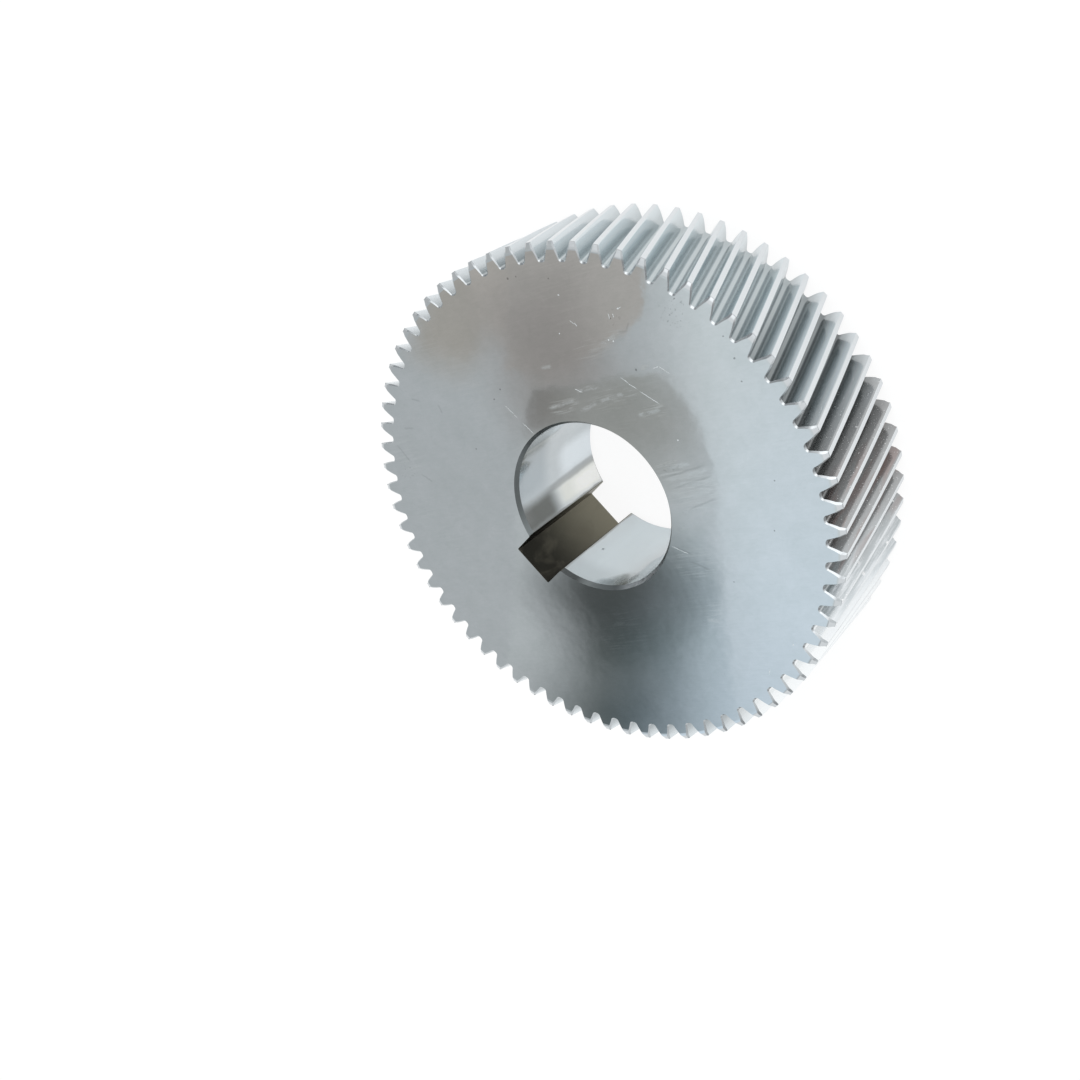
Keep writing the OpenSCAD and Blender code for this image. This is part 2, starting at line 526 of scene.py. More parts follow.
# Patches: place, half length along the streaks, half width, strength.
SCUFFS = [
    ((-35.0, 9.5), 6.0, 4.0, 1.0),
    ((-37.0, 20.0), 10.0, 7.0, 0.8),
    ((-21.0, -30.0), 7.0, 3.0, 0.8),
    ((-37.5, -19.5), 11.0, 4.0, 0.55),
    ((-46.0, -7.5), 6.0, 2.5, 0.8),
    ((-44.5, -35.0), 8.0, 4.0, 0.5),
    ((-54.0, -32.5), 6.0, 2.5, 0.6),
    ((-16.8, 37.0), 9.0, 7.0, 0.45),
    ((-9.5, 53.0), 6.0, 4.0, 0.5),
    ((48.0, -62.0), 8.0, 9.0, 0.4),
]
SPECKLED = [
    ((-76.5, -23.5), 6.0, 5.0, 1.0),
    ((-58.5, -37.0), 4.0, 3.0, 0.6),
    ((54.0, -57.5), 4.0, 4.0, 0.8),
    ((-35.0, 8.8), 5.0, 3.0, 0.6),
]
SCRATCH_HALF = 0.18
SMEAR_HALF = 1.2
DARK_HALF = 0.55
STREAK_ALONG = (-0.88, 0.47, 0.0)
STREAK_ACROSS = (0.47, 0.88, 0.0)


def largest(graph, masks):
    """The largest of several masks."""
    result = masks[0]
    for mask in masks[1:]:
        result = graph.math("MAXIMUM", result, mask)
    return result


def line_mask(graph, flat, start, end, half_width):
    """1 on a straight mark between two points, fading to 0 at its half width and its ends."""
    (x0, y0), (x1, y1) = start, end
    length = sqrt((x1 - x0) ** 2 + (y1 - y0) ** 2)
    ux, uy = (x1 - x0) / length, (y1 - y0) / length
    away = graph.shift(flat, ((x0 + x1) / 2, (y0 + y1) / 2, 0.0))
    along = graph.math("ABSOLUTE", graph.dot(away, (ux, uy, 0.0)))
    across = graph.math("ABSOLUTE", graph.dot(away, (-uy, ux, 0.0)))
    inside = graph.fade(along, length * 0.3, length * 0.55, 1, 0)
    return graph.math("MULTIPLY", inside, graph.fade(across, half_width * 0.2, half_width, 1, 0))


def line_masks(graph, flat, lines, half_width):
    return largest(graph, [line_mask(graph, flat, start, end, half_width) for start, end in lines])


def spot_mask(graph, flat, place, radius):
    """1 on a small round mark, fading to 0 at its radius."""
    away = graph.shift(flat, (*place, 0.0))
    distance = graph.math("SQRT", graph.dot(away, away))
    return graph.fade(distance, radius * 0.5, radius, 1, 0)


def patch_mask(graph, flat, place, half_length, half_width, strength):
    """A soft patch that lies along the streaks."""
    away = graph.shift(flat, (*place, 0.0))
    along = graph.math("DIVIDE", graph.dot(away, STREAK_ALONG), half_length)
    across = graph.math("DIVIDE", graph.dot(away, STREAK_ACROSS), half_width)
    reach = graph.math("ADD", graph.math("MULTIPLY", along, along), graph.math("MULTIPLY", across, across))
    return graph.fade(reach, 0.3, 1.3, strength, 0)


def streak_noise(graph, place, along_scale, across_scale, detail, distortion):
    """Noise drawn out along the streaks; the scales are in features per metre."""
    along = graph.math("MULTIPLY", graph.dot(place, STREAK_ALONG), along_scale)
    across = graph.math("MULTIPLY", graph.dot(place, STREAK_ACROSS), across_scale)
    drawn = graph.node("ShaderNodeCombineXYZ", {0: along, 1: across}).outputs[0]
    return graph.noise(drawn, 1.0, detail, 0.6, distortion)


def end_finish():
    """Ground end faces: nearly a mirror, with fine grain, cloudy polish, scuffs, scratches and pits."""
    material, graph = new_material("ground_end")
    place = graph.node("ShaderNodeTexCoord").outputs["Object"]
    height = graph.node("ShaderNodeSeparateXYZ", {0: place}).outputs[2]
    front = graph.math("GREATER_THAN", height, FACE_WIDTH * MM / 2)

    cloud = graph.noise(place, 70.0, 4.0, 0.6, 0.4)
    mottle = graph.noise(place, 190.0, 4.0, 0.6, 0.6)
    grain = graph.noise(place, 1400.0, 3.0, 0.7)
    strokes = streak_noise(graph, place, 330.0, 950.0, 3.0, 0.8)
    torn = graph.fade(streak_noise(graph, place, 85.0, 560.0, 3.0, 0.9), 0.36, 0.64)
    streaks = graph.fade(streak_noise(graph, place, 95.0, 1250.0, 4.0, 0.6), 0.46, 0.64)

    # The marks waver a little and break up along their length.
    waver = graph.node("ShaderNodeTexNoise", {"Vector": place, "Scale": 380.0, "Detail": 2.0})
    waver = waver.outputs["Color"]
    waver = graph.stretch(graph.shift(waver, (0.5, 0.5, 0.5)), (0.7, 0.7, 0.0))
    flat = graph.stretch(place, (1 / MM, 1 / MM, 0.0))
    flat = graph.node("ShaderNodeVectorMath", {0: flat, 1: waver}, operation="ADD").outputs[0]
    broken = graph.fade(graph.noise(place, 800.0, 2.0, 0.5), 0.34, 0.5, 0.5, 1.0)

    rubbed = largest(graph, [patch_mask(graph, flat, *scuff) for scuff in SCUFFS])
    rubbed = graph.math("MULTIPLY", rubbed, front)
    faint = graph.fade(graph.noise(place, 30.0, 2.0, 0.5), 0.48, 0.68, 0, 0.22)
    scuff = graph.math("MULTIPLY", streaks, graph.math("MAXIMUM", rubbed, faint))
    smears = line_masks(graph, flat, SMEARS, SMEAR_HALF)
    smears = graph.math("MULTIPLY", smears, front)
    smears = graph.math("MULTIPLY", smears, graph.fade(strokes, 0.35, 0.6, 0.3, 1))
    dark_lines = graph.math("MULTIPLY", line_masks(graph, flat, DARK_LINES, DARK_HALF), front)
    scratches = graph.math("MULTIPLY", line_masks(graph, flat, SCRATCHES, SCRATCH_HALF), broken)
    nicks = largest(graph, [spot_mask(graph, flat, *nick) for nick in NICKS])
    light_marks = graph.math("MULTIPLY", graph.math("MAXIMUM", scratches, nicks), front)
    pits = largest(graph, [spot_mask(graph, flat, *pit) for pit in PITS])
    speckled = largest(graph, [patch_mask(graph, flat, *patch) for patch in SPECKLED])
    specks = graph.fade(graph.noise(place, 900.0, 2.0, 0.5), 0.60, 0.68)
    pits = graph.math("MAXIMUM", pits, graph.math("MULTIPLY", graph.math("MULTIPLY", specks, speckled), 0.5))
    pits = graph.math("MULTIPLY", pits, front)

    tone = graph.math("MULTIPLY_ADD", mottle, 0.42, graph.math("MULTIPLY", cloud, 0.31))
    tone = graph.math("MULTIPLY_ADD", strokes, 0.26, tone)
    tone = graph.math("MULTIPLY_ADD", torn, 0.03, tone)
    rubbed_streaks = graph.math("MULTIPLY", rubbed, torn)
    colour = graph.tint(tone, (0.525, 0.555, 0.552, 1), (0.745, 0.745, 0.768, 1))
    # The marks over the steel: mask, share, colour. Later ones lie on top.
    for mask, share, mark in (
        (rubbed, 0.2, (0.44, 0.455, 0.455, 1)),
        (rubbed_streaks, 0.27, (0.76, 0.765, 0.765, 1)),
        (scuff, 0.5, (0.80, 0.81, 0.81, 1)),
        (smears, 0.21, (0.84, 0.85, 0.85, 1)),
        (dark_lines, 0.3, (0.40, 0.41, 0.41, 1)),
        # Scratches and nicks are real marks; their light colour is partly a painted glint.
        (light_marks, 0.75, (0.95, 0.95, 0.95, 1)),
        (pits, 0.55, (0.12, 0.12, 0.12, 1)),
    ):
        colour = graph.tint(graph.math("MULTIPLY", mask, share), colour, mark)

    rough = graph.fade(cloud, 0.35, 0.7, 0.025, 0.045)
    rough = graph.math("MULTIPLY_ADD", graph.math("MAXIMUM", scuff, smears), 0.12, rough)
    rough = graph.math("MULTIPLY_ADD", graph.math("SUBTRACT", grain, 0.5), 0.02, rough)
    rough = graph.math("MULTIPLY_ADD", light_marks, MARK_ROUGHNESS, rough)

    wave = graph.noise(place, 60.0, 3.0, 0.55)
    relief = graph.bump(wave, 0.5, WAVE_RELIEF)
    relief = graph.bump(strokes, 0.5, STROKE_RELIEF, relief)
    relief = graph.bump(grain, 0.4, GRAIN_RELIEF, relief)
    steel_surface(graph, colour, rough, relief)
    return material


def plain_steel(name, colour, roughness, painted_tone_bands=()):
    """Bare machined steel with a fine grain, and painted reflections that may change its tone round the
    wheel.
    """
    material, graph = new_material(name)
    place = graph.node("ShaderNodeTexCoord").outputs["Object"]
    grain = graph.noise(place, 900.0, 3.0, 0.6)
    cloud = graph.noise(place, 70.0, 3.0, 0.6)
    darker = tuple(DARKER_STEEL * part for part in colour)
    shade = graph.tint(cloud, (*darker, 1), (*colour, 1))
    if painted_tone_bands:
        turn = full_azimuth(graph, graph.node("ShaderNodeSeparateXYZ", {0: place}))
    # Painted reflections: bands of lighter and darker tone round the wheel.
    for middle, half, share, tone in painted_tone_bands:
        shade = graph.tint(band_mask(graph, turn, middle, half, share), shade, (*tone, 1))
    rough = uneven_roughness(graph, grain, roughness)
    steel_surface(graph, shade, rough, graph.bump(grain, 0.5, STEEL_RELIEF))
    return material


def azimuth(graph, parts):
    """Degrees round the wheel's axis from the keyway, -180 to 180."""
    return graph.math("MULTIPLY", graph.math("ARCTAN2", parts.outputs[1], parts.outputs[0]), 180 / pi)


def full_azimuth(graph, parts):
    """Degrees round the wheel's axis from the keyway, 0 to 360."""
    return graph.math("MODULO", graph.math("ADD", azimuth(graph, parts), 360.0), 360.0)


def band_mask(graph, value, middle, half, share):
    """A soft band round a middle value."""
    away = graph.math("ABSOLUTE", graph.math("SUBTRACT", value, middle))
    return graph.fade(away, half * 0.4, half * 1.3, share, 0)


# Painted reflections on the flanks, lighter and darker bands round the rim: middle and half width in degrees
# from the keyway, share, colour.
FLANK_PAINTED_REFLECTIONS = [
    (98.0, 18.5, 0.85, (0.97, 0.98, 0.98)),
    (112.0, 6.5, 0.6, (0.97, 0.98, 0.98)),
    (146.0, 18.0, 0.7, (0.30, 0.29, 0.283)),
    (126.5, 7.0, 0.45, (0.36, 0.385, 0.39)),
    (207.0, 30.0, 0.45, (0.74, 0.81, 0.83)),
]
# Where the painted shade on a gap's floor begins to fade and ends, in millimetres above the root circle.
ROOT_SHADE_START = 0.2
ROOT_SHADE_END = 1.7
# Stretch with painted shade on the gap floors, hazy stretch, rust-tinted stretch, and the stretch with chips
# and dust.
PAINTED_ROOT_SHADE = (160.0, 24.0, 0.6)
HAZY = (121.0, 11.0, 0.75)
RUSTY = (140.0, 11.0, 0.5)
DUSTY = (132.0, 32.0, 0.9)
# Chips on the teeth: place in millimetres, radius.
CHIPS = [
    ((-51.8, 74.7, 12.2), 0.9),
    ((-75.8, 50.3, 33.5), 0.6),
    ((-49.8, 76.0, 49.8), 0.8),
    ((-62.1, 66.4, 22.2), 0.6),
    ((-74.7, 51.8, 40.9), 0.5),
    ((-47.9, 75.8, 28.4), 0.8),
    ((-59.6, 65.4, 4.5), 0.5),
    ((-81.1, 38.8, 26.2), 0.5),
    ((-53.2, 71.4, 34.2), 0.6),
]
DARK_CHIPS = [((-86.4, -0.6, 4.8), 0.9), ((-84.3, 17.0, 11.7), 0.5)]


def painted_root_shade_haze_and_rust(graph, place, radius, turn, colour):
    """Painted shade on the gap floors, a haze and a rust tint, each on its own stretch of the rim."""
    # Painted shade: the gap floors darken near the root circle on one stretch of the rim.
    root_shade = graph.fade(radius, (root_r + ROOT_SHADE_START) * MM, (root_r + ROOT_SHADE_END) * MM, 1, 0)
    root_shade = graph.math("MULTIPLY", root_shade, band_mask(graph, turn, *PAINTED_ROOT_SHADE))
    colour = graph.tint(root_shade, colour, (0.13, 0.135, 0.135, 1))
    haze = graph.noise(graph.stretch(place, (700.0, 55.0, 1.0)), 1.0, 3.0, 0.6)
    haze = graph.math("MULTIPLY", graph.fade(haze, 0.42, 0.66), band_mask(graph, turn, *HAZY))
    colour = graph.tint(haze, colour, (0.86, 0.88, 0.90, 1))
    patches = graph.noise(graph.stretch(place, (330.0, 45.0, 1.0)), 1.0, 2.0, 0.5)
    rust = graph.math("MULTIPLY", band_mask(graph, turn, *RUSTY), graph.fade(patches, 0.48, 0.62))
    return graph.tint(rust, colour, (0.36, 0.26, 0.24, 1))


def tooth_finish(name, root, tip, roughness, painted_tone_bands=()):
    """Tooth flanks and lands: painted shade darkening them towards the root, with fine cutting lines, dust
    and chips.
    """
    material, graph = new_material(name)
    place = graph.node("ShaderNodeUVMap", uv_map="along_tooth").outputs[0]
    spot = graph.node("ShaderNodeTexCoord").outputs["Object"]
    parts = graph.node("ShaderNodeSeparateXYZ", {0: spot})
    lines = graph.noise(graph.stretch(place, (9000.0, 60.0, 1.0)), 1.0, 3.0, 0.6)
    cloud = graph.noise(graph.stretch(place, (400.0, 60.0, 1.0)), 1.0, 3.0, 0.6)
    turn = full_azimuth(graph, parts)
    flat = graph.stretch(spot, (1.0, 1.0, 0.0))
    radius = graph.math("SQRT", graph.dot(flat, flat))
    rise = graph.math("ADD", radius, graph.math("MULTIPLY", graph.math("SUBTRACT", cloud, 0.5), 0.002))
    # Painted shade: the colour darkens from the tip towards the root of the gaps.
    colour = graph.tint(graph.fade(rise, root_r * MM, tip_r * MM), (*root, 1), (*tip, 1))
    # Painted reflections: bands of lighter and darker tone round the rim.
    for middle, half, share, tone in painted_tone_bands:
        colour = graph.tint(band_mask(graph, turn, middle, half, share), colour, (*tone, 1))
    if painted_tone_bands:
        colour = painted_root_shade_haze_and_rust(graph, place, radius, turn, colour)
    dust = graph.fade(graph.noise(spot, 1900.0, 1.0, 0.5), 0.69, 0.75)
    dust = graph.math("MULTIPLY", dust, band_mask(graph, turn, *DUSTY))
    crumbs = graph.math("MULTIPLY", graph.math("SUBTRACT", graph.noise(spot, 900.0, 2.0, 0.6), 0.5), 1.6)
    measured = graph.stretch(spot, (1 / MM, 1 / MM, 1 / MM))
    chips = chip_masks(graph, measured, crumbs, CHIPS)
    dark_chips = chip_masks(graph, measured, crumbs, DARK_CHIPS)
    light_marks = graph.math("MAXIMUM", dust, chips)
    colour = graph.tint(light_marks, colour, (0.98, 0.98, 0.98, 1))
    colour = graph.tint(graph.math("MULTIPLY", dark_chips, 0.7), colour, (0.10, 0.11, 0.11, 1))
    rough = graph.math("MULTIPLY_ADD", light_marks, MARK_ROUGHNESS, uneven_roughness(graph, lines, roughness))
    steel_surface(graph, colour, rough, graph.bump(lines, 0.5, STEEL_RELIEF))
    return material


def chip_mask(graph, measured, crumbs, place, radius):
    """1 on a small ragged mark, fading to 0 at its radius."""
    away = graph.shift(measured, place)
    distance = graph.math("ADD", graph.math("SQRT", graph.dot(away, away)), crumbs)
    return graph.fade(distance, radius * 0.5, radius, 1, 0)


def chip_masks(graph, measured, crumbs, chips):
    return largest(graph, [chip_mask(graph, measured, crumbs, *chip) for chip in chips])


# Painted reflections on the bore's wall, light and dark bands that run along the axis: middle and half width
# in degrees from the keyway, height above the back face where the band ends, share, colour.
PAINTED_BORE_REFLECTIONS = [
    (-47.0, 12.5, 23.0, 0.8, (0.90, 0.96, 1.0)),
    (-25.5, 8.5, 28.0, 0.75, (0.93, 0.93, 0.86)),
    (-24.0, 7.0, 18.0, 1.0, (1.0, 1.0, 0.97)),
    (-34.2, 2.9, 33.0, 0.52, (0.28, 0.285, 0.28)),
    (40.0, 24.0, 60.0, 0.6, (0.74, 0.82, 0.85)),
    (-16.0, 1.0, 60.0, 0.5, (0.12, 0.115, 0.10)),
    (16.2, 1.2, 60.0, 0.5, (0.30, 0.29, 0.26)),
]
# Painted shade near the front end of the bore's wall: middle, half width, height where they begin, share,
# colour.
PAINTED_BORE_MOUTH_SHADE = [
    (-56.0, 22.0, 32.0, 0.75, (0.46, 0.51, 0.54)),
    (-79.0, 10.0, 35.0, 0.8, (0.27, 0.295, 0.30)),
    (-24.5, 11.0, 30.0, 0.95, (0.165, 0.17, 0.16)),
    (-28.0, 8.0, 47.0, 0.5, (0.30, 0.31, 0.31)),
    (30.0, 20.0, 39.0, 0.45, (0.50, 0.55, 0.57)),
    (63.0, 16.0, 41.0, 0.8, (0.42, 0.46, 0.47)),
]
# Painted reflections on the bevel at the bore's ends, lighter and darker bands: middle and half width in
# degrees from the keyway, share, colour.
MOUTH_PAINTED_REFLECTIONS = [
    (82.0, 20.0, 1.0, (0.95, 0.98, 1.0)),
    (20.0, 14.0, 0.85, (0.03, 0.032, 0.032)),
    (135.0, 25.0, 0.45, (0.08, 0.085, 0.085)),
    (228.0, 20.0, 0.8, (0.06, 0.065, 0.065)),
]
# Smudges on the bore's wall: degrees from the keyway, height in mm, half width in degrees, half height,
# share.
BORE_SMUDGES = [
    (-63.5, 47.4, 2.8, 2.2, 0.42),
    (23.4, 29.0, 0.8, 0.6, 0.6),
    (54.0, 46.8, 7.0, 4.6, 0.3),
    (46.0, 48.5, 5.0, 3.0, 0.3),
    (66.0, 45.0, 3.0, 3.0, 0.3),
]


def bore_finish():
    """Honed bore wall with painted reflections in soft bands along the axis, painted shade near the front
    end, and a few smudges.
    """
    material, graph = new_material("honed_bore")
    place = graph.node("ShaderNodeTexCoord").outputs["Object"]
    parts = graph.node("ShaderNodeSeparateXYZ", {0: place})
    height = graph.math("MULTIPLY", parts.outputs[2], 1 / MM)
    cloud = graph.noise(place, 60.0, 3.0, 0.6)
    grain = graph.noise(place, 1500.0, 3.0, 0.6)
    streaks = graph.noise(graph.stretch(place, (420.0, 420.0, 110.0)), 1.0, 3.0, 0.6)
    wander = graph.math("MULTIPLY", graph.math("SUBTRACT", cloud, 0.5), 4.0)
    turn = graph.math("ADD", azimuth(graph, parts), wander)

    colour = graph.tint(streaks, (0.585, 0.63, 0.65, 1), (0.69, 0.73, 0.75, 1))
    # Painted reflections: highlight and dark bands along the bore's wall.
    for middle, half, top, share, tone in PAINTED_BORE_REFLECTIONS:
        below = graph.fade(height, top - 5, top + 4, 1, 0)
        mask = graph.math("MULTIPLY", band_mask(graph, turn, middle, half, share), below)
        colour = graph.tint(mask, colour, (*tone, 1))
    # Painted shade: the wall darkens near the front end of the bore.
    for middle, half, start, share, tone in PAINTED_BORE_MOUTH_SHADE:
        above = graph.fade(height, start - 4, start + 5)
        mask = graph.math("MULTIPLY", band_mask(graph, turn, middle, half, share), above)
        colour = graph.tint(mask, colour, (*tone, 1))
    rough = graph.fade(grain, 0.3, 0.7, 0.1, 0.16)
    for middle, level, half, half_height, share in BORE_SMUDGES:
        dx = graph.math("DIVIDE", graph.math("SUBTRACT", turn, middle), half)
        dz = graph.math("DIVIDE", graph.math("SUBTRACT", height, level), half_height)
        reach = graph.math("ADD", graph.math("MULTIPLY", dx, dx), graph.math("MULTIPLY", dz, dz))
        reach = graph.math("MULTIPLY_ADD", graph.math("SUBTRACT", streaks, 0.5), 2.4, reach)
        smudge = graph.fade(reach, -0.5, 2.6, share, 0)
        colour = graph.tint(smudge, colour, (0.17, 0.205, 0.22, 1))
        rough = graph.math("MULTIPLY_ADD", smudge, 0.6, rough)
    steel_surface(graph, colour, rough, graph.bump(grain, 0.5, GRAIN_RELIEF))
    return material


def keyway_finish():
    """Broached keyway: dark brown steel with painted shadow darkening it towards the front, oily patches, and
    lines along the cut.
    """
    material, graph = new_material("broached_keyway")
    place = graph.node("ShaderNodeTexCoord").outputs["Object"]
    height = graph.node("ShaderNodeSeparateXYZ", {0: place}).outputs[2]
    lines = graph.noise(graph.stretch(place, (1800.0, 1800.0, 12.0)), 1.0, 2.0, 0.5)
    oil = graph.noise(graph.stretch(place, (110.0, 110.0, 60.0)), 1.0, 3.0, 0.5, 0.8)
    # Painted shadow: the keyway darkens towards the front end.
    colour = graph.tint(graph.fade(height, -0.008, 0.044), (0.25, 0.235, 0.18, 1), (0.026, 0.025, 0.02, 1))
    colour = graph.tint(graph.fade(oil, 0.5, 0.68, 0, 0.35), colour, (0.12, 0.11, 0.085, 1))
    rough = graph.fade(lines, 0.3, 0.7, 0.28, 0.31)
    steel_surface(graph, colour, rough, graph.bump(lines, 0.3, CUT_RELIEF))
    return material


wheel = build_wheel()
for finish in (
    end_finish(),
    plain_steel("edge_break", (0.57, 0.59, 0.60), 0.22),
    # The flanks' dark root colour is painted shade in the gaps; their bands round the rim are painted
    # reflections.
    tooth_finish("tooth_flanks", (0.375, 0.405, 0.415), (0.70, 0.74, 0.76), 0.16, FLANK_PAINTED_REFLECTIONS),
    tooth_finish("tooth_lands", (0.735, 0.76, 0.775), (0.755, 0.78, 0.795), 0.18),
    bore_finish(),
    # The bevel's dark colour is painted shade, standing in for the dark it mirrors; its bands are painted
    # reflections.
    plain_steel("bore_mouth", (0.25, 0.27, 0.27), 0.35, MOUTH_PAINTED_REFLECTIONS),
    keyway_finish(),
):
    wheel.data.materials.append(finish)
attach(wheel, "root")
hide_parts("gear_wheel")

# Pale floor: white to the camera and to mirrors, with the wheel's shadow kept.
FLOOR_HALF = 3.0
FLOOR_DROP = 0.0002
PLAIN_FLOOR = (0.8, 0.8, 0.8, 1)
# Diffuse colour and glow of the floor, as steel mirrors it and as the camera sees it.
MIRRORED_FLOOR = (0.45, 0.6)
SEEN_FLOOR = (0.14, 0.9)
floor_mesh = bpy.data.meshes.new("floor")
floor_mesh.from_pydata(
    [(x * FLOOR_HALF, y * FLOOR_HALF, -FLOOR_DROP) for x, y in ((-1, -1), (1, -1), (1, 1), (-1, 1))],
    [],
    [(0, 1, 2, 3)],
)
floor = bpy.data.objects.new("floor", floor_mesh)
bpy.context.scene.collection.objects.link(floor)
material, graph = new_material("pale_floor")
graph.nodes.remove(graph.nodes["Principled BSDF"])
plain = graph.node("ShaderNodeBsdfDiffuse", {"Color": PLAIN_FLOOR})


def mixed_shader(graph, share, below, above):
    return graph.node("ShaderNodeMixShader", {0: share, 1: below, 2: above}).outputs[0]


def white_floor(diffuse, glow):
    shaded = graph.node("ShaderNodeBsdfDiffuse", {"Color": (diffuse, diffuse, diffuse, 1)})
    lit = graph.node("ShaderNodeEmission", {"Strength": glow})
    return graph.node("ShaderNodeAddShader", {0: shaded.outputs[0], 1: lit.outputs[0]}).outputs[0]


path = graph.node("ShaderNodeLightPath")
mirrored_floor = white_floor(*MIRRORED_FLOOR)
seen_floor = white_floor(*SEEN_FLOOR)
surface = mixed_shader(graph, path.outputs["Is Glossy Ray"], plain.outputs[0], mirrored_floor)
surface = mixed_shader(graph, path.outputs["Is Camera Ray"], surface, seen_floor)
graph.put(graph.nodes["Material Output"].inputs["Surface"], surface)
floor_mesh.materials.append(material)

# Camera at the photograph's angle.
CAMERA_AT = Vector((-0.29908, 0.03115, 0.40057))
CAMERA_AHEAD = Vector((0.68060, -0.07463, -0.72884))
CAMERA_UP = Vector((-0.52592, -0.74237, -0.41509))
LENS = 45.393
SENSOR = 36.0
camera_data = bpy.data.cameras.new("camera")
camera_data.sensor_width = SENSOR
camera_data.lens = LENS
camera_data.clip_start = 0.01
camera = bpy.data.objects.new("camera", camera_data)
bpy.context.scene.collection.objects.link(camera)
right = CAMERA_AHEAD.cross(CAMERA_UP).normalized()
up = right.cross(CAMERA_AHEAD).normalized()
back = -CAMERA_AHEAD.normalized()
camera.matrix_world = Matrix((
    (right.x, up.x, back.x, CAMERA_AT.x),
    (right.y, up.y, back.y, CAMERA_AT.y),
    (right.z, up.z, back.z, CAMERA_AT.z),
    (0, 0, 0, 1),
))
bpy.context.scene.camera = camera

# Studio light: a soft sky with panels and dark screens, each set out on a flat board that the upward
# face mirrors into the camera, in hundredths of the frame. A rounded panel has its middle across and
# down, its half sizes and its turn; a plate has its corners. Then softness of the edge, and colour.
BOARD_AHEAD = Vector((CAMERA_AHEAD.x, CAMERA_AHEAD.y, -CAMERA_AHEAD.z)).normalized()
BOARD_RIGHT = Vector((right.x, right.y, -right.z))
BOARD_DOWN = Vector((-up.x, -up.y, up.z))
BOARD_SCALE = LENS / SENSOR * 100
BOARD_MIDDLE = 50.0
BOARD_FADE = (0.2, 0.4)
AHEAD_FLOOR = 0.05
SKY = (0.95, 0.98, 1.0, 1)
PANELS = [
    ("grey_ceiling", (55.0, 50.0, 48.0, 46.0, 0), 0.2, (0.572, 0.608, 0.622, 1)),
    ("cool_right", (104.3, 30.5, 41.4, 30.8, -10), 0.11, (0.82, 0.89, 0.91, 1)),
    ("warm_corner", (42.3, 29.1, 3.3, 5.0, 20), 0.48, (0.5, 0.48, 0.44, 1)),
    ("warm_left", (49.0, 25.7, 5.4, 5.6, -20), 0.2, (0.59, 0.56, 0.52, 1)),
    ("warm_top", [
        (46.8, 16.7),
        (60.0, 16.7),
        (59.6, 26.9),
        (59.4, 29.3),
        (58.1, 30.5),
        (54.8, 33.0),
        (49.1, 34.6),
        (46.8, 34.4),
    ], 0.22, (0.55, 0.53, 0.5, 1)),
    ("column", (50.8, 32.2, 4.5, 6.5, -20), 0.86, (0.4, 0.38, 0.36, 1)),
    ("shade", [
        (49.3, 36.2),
        (60.9, 34.4),
        (61.9, 34.6),
        (63.6, 37.5),
        (65.0, 40.6),
        (66.0, 43.4),
        (68.7, 72.2),
        (46.3, 72.2),
        (48.4, 39.8),
    ], 0.22, (0.62, 0.66, 0.67, 1)),
    ("box_left", (52.1, 37.5, 3.8, 2.3, -1), 0.76, (0.09, 0.05, 0.04, 1)),
    ("box", (56.6, 38.5, 6.4, 6.4, -31), 0.89, (0.41, 0.42, 0.4, 1)),
    ("grey_right_of_bore", (65.0, 67.0, 3.4, 16.6, -7), 0.29, (0.33, 0.39, 0.4, 1)),
    ("dark", (60.8, 57.5, 3.5, 4.6, 25), 0.78, (0.03, 0.06, 0.04, 1)),
    ("dark_core", (57.1, 54.7, 5.6, 5.7, 53), 0.66, (0.1, 0.11, 0.11, 1)),
    ("dark_low", (60.0, 67.2, 5.8, 7.5, -42), 0.95, (0.03, 0.05, 0.05, 1)),
    ("low_mid", (68.1, 95.0, 10.8, 45.0, 14), 0.95, (0.85, 1.0, 1.12, 1)),
]
# These panels lie on the plate before them and end at its edges.
ON_PLATE = ("box_left", "box", "grey_right_of_bore")
# These large panels also light the scene; the rest only show in mirroring steel.
LIGHTING = ("grey_ceiling", "cool_right", "low_mid")


def toward_sky(azimuth, height):
    a, h = radians(azimuth), radians(height)
    return Vector((cos(a) * cos(h), sin(a) * cos(h), sin(h)))


# Large soft areas: direction, cosines where each begins and is full, colour.
SIDES = [
    (toward_sky(-150, 38), 0.84, 0.96, (1.9, 1.93, 1.96, 1)),
    (toward_sky(-88, 6), 0.75, 0.93, (0.42, 0.44, 0.46, 1)),
    (toward_sky(-50, 30), 0.8, 0.95, (0.6, 0.62, 0.63, 1)),
    (toward_sky(112, 8), 0.75, 0.93, (0.42, 0.43, 0.44, 1)),
]


def round_mask(graph, across, down, shape, softness):
    """1 inside a panel with rounded corners, fading over its edge."""
    middle_across, middle_down, half_width, half_height, turn = shape
    dx = graph.math("SUBTRACT", across, middle_across)
    dy = graph.math("SUBTRACT", down, middle_down)
    c, s = cos(radians(turn)), sin(radians(turn))
    px = graph.math("MULTIPLY_ADD", dx, c / half_width, graph.math("MULTIPLY", dy, s / half_width))
    py = graph.math("MULTIPLY_ADD", dx, -s / half_height, graph.math("MULTIPLY", dy, c / half_height))
    squares = [graph.math("MULTIPLY", part, part) for part in (px, py)]
    fourth = [graph.math("MULTIPLY", square, square) for square in squares]
    reach = graph.math("SQRT", graph.math("SQRT", graph.math("ADD", *fourth)))
    return graph.fade(reach, 1 - softness, 1 + softness, 1, 0)


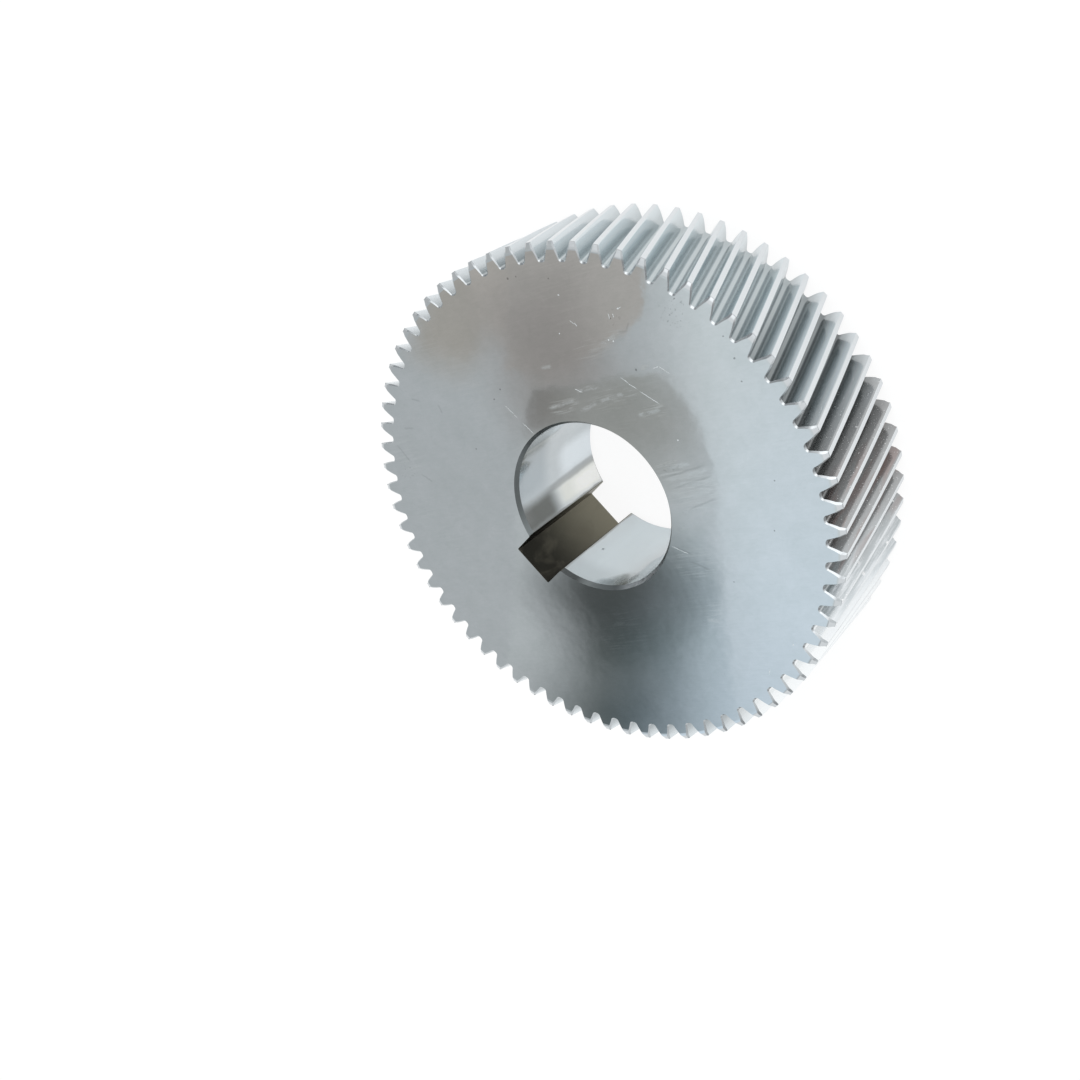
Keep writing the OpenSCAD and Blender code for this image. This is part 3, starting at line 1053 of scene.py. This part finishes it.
def plate_mask(graph, across, down, corners, softness):
    """1 inside a plate with straight edges, given clockwise as seen in the frame."""
    depth = None
    for (x0, y0), (x1, y1) in zip(corners, corners[1:] + corners[:1]):
        length = sqrt((x1 - x0) ** 2 + (y1 - y0) ** 2)
        nx, ny = (y0 - y1) / length, (x1 - x0) / length
        inside = graph.math("MULTIPLY_ADD", down, ny, -nx * x0 - ny * y0)
        inside = graph.math("MULTIPLY_ADD", across, nx, inside)
        depth = inside if depth is None else graph.math("MINIMUM", depth, inside)
    return graph.fade(depth, -softness, softness)


def on_board(graph, toward, ahead, axis):
    """Where a direction meets the board, along one of its axes, in hundredths of the frame."""
    slope = graph.math("DIVIDE", graph.dot(toward, axis), ahead)
    return graph.math("MULTIPLY_ADD", slope, BOARD_SCALE, BOARD_MIDDLE)


world = bpy.data.worlds.new("studio")
bpy.context.scene.world = world
world.use_nodes = True
graph = Graph(world.node_tree)
toward = graph.node("ShaderNodeTexCoord").outputs["Generated"]
ahead = graph.dot(toward, BOARD_AHEAD)
ahead_safe = graph.math("MAXIMUM", ahead, AHEAD_FLOOR)
across = on_board(graph, toward, ahead_safe, BOARD_RIGHT)
down = on_board(graph, toward, ahead_safe, BOARD_DOWN)
colour = SKY
for direction, low, high, light in SIDES:
    colour = graph.tint(graph.fade(graph.dot(toward, direction), low, high), colour, light)
plate = None
mirrored = colour
for name, shape, softness, light in PANELS:
    if isinstance(shape, list):
        plate = share = plate_mask(graph, across, down, shape, softness)
    else:
        share = round_mask(graph, across, down, shape, softness)
        if name in ON_PLATE:
            share = graph.math("MULTIPLY", share, plate)
    share = graph.math("MULTIPLY", share, graph.fade(ahead, *BOARD_FADE))
    mirrored = graph.tint(share, mirrored, light)
    if name in LIGHTING:
        colour = graph.tint(share, colour, light)
path = graph.node("ShaderNodeLightPath")
colour = graph.tint(path.outputs["Is Camera Ray"], colour, (1, 1, 1, 1))
lighting_sky = graph.node("ShaderNodeBackground", {"Color": colour, "Strength": 1.0}).outputs[0]
mirrored_sky = graph.node("ShaderNodeBackground", {"Color": mirrored, "Strength": 1.0}).outputs[0]
sky = mixed_shader(graph, path.outputs["Is Glossy Ray"], lighting_sky, mirrored_sky)
graph.nodes.remove(graph.nodes["Background"])
graph.put(graph.nodes["World Output"].inputs["Surface"], sky)
bpy.context.scene.view_settings.view_transform = "Standard"

bpy.context.view_layer.update()
